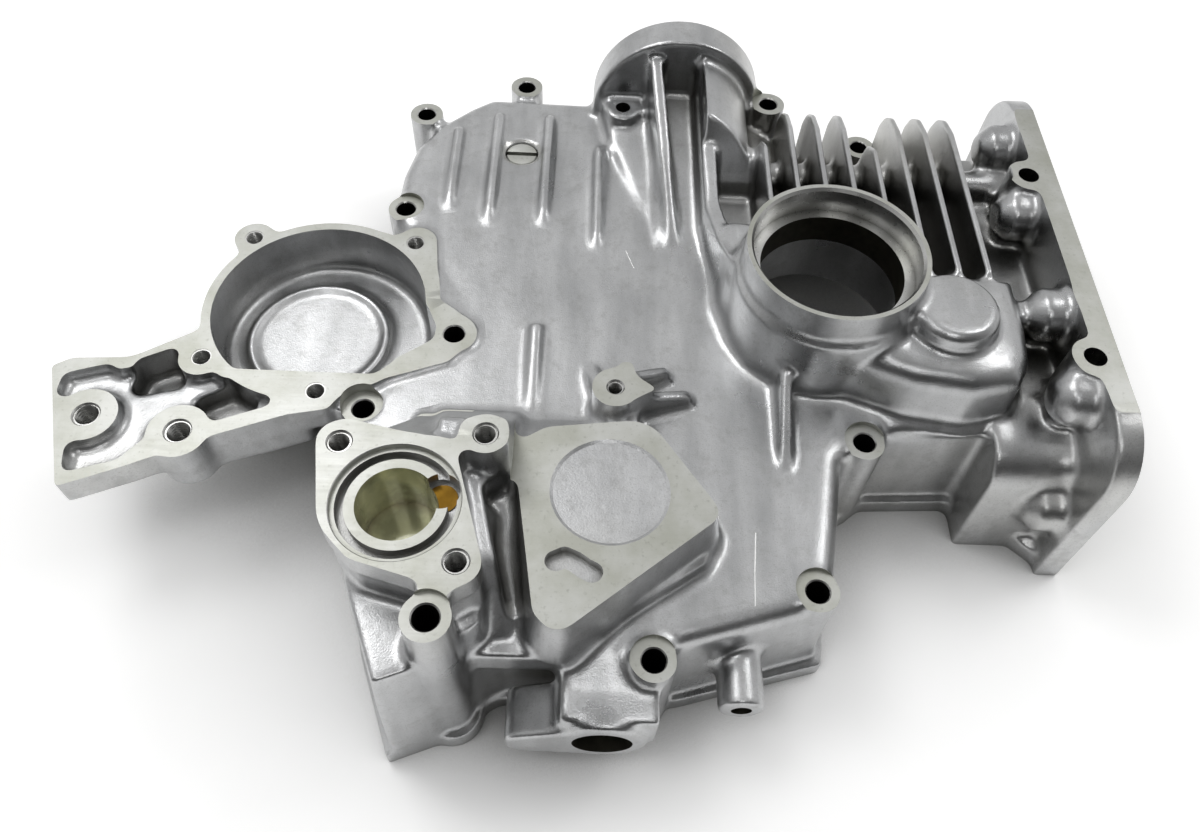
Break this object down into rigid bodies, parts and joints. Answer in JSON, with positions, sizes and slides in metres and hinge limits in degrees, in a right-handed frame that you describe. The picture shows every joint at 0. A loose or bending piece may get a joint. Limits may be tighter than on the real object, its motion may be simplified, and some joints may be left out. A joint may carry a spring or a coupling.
{
  "type": "engine gear case",
  "caption": "Front gear case of a small diesel engine, cast with a seal ring, coolant pump chamber, bracket arm, sump flange and oil filter seat.",
  "frame": {"origin": "crankshaft seal axis where it meets the joint face", "axes": "+Z along the seal axis away from the engine, +X to the sump flange"},
  "size_m": [0.4367, 0.3485, 0.109],
  "materials": {
    "cast_aluminium": "as die cast, fine matt grain with machined faces",
    "plug_steel": "plain steel, slightly dull"
  },
  "bodies": {
    "root": {"gear_case": "cast_aluminium", "screw_plug": "plug_steel"}
  },
  "joints": []
}
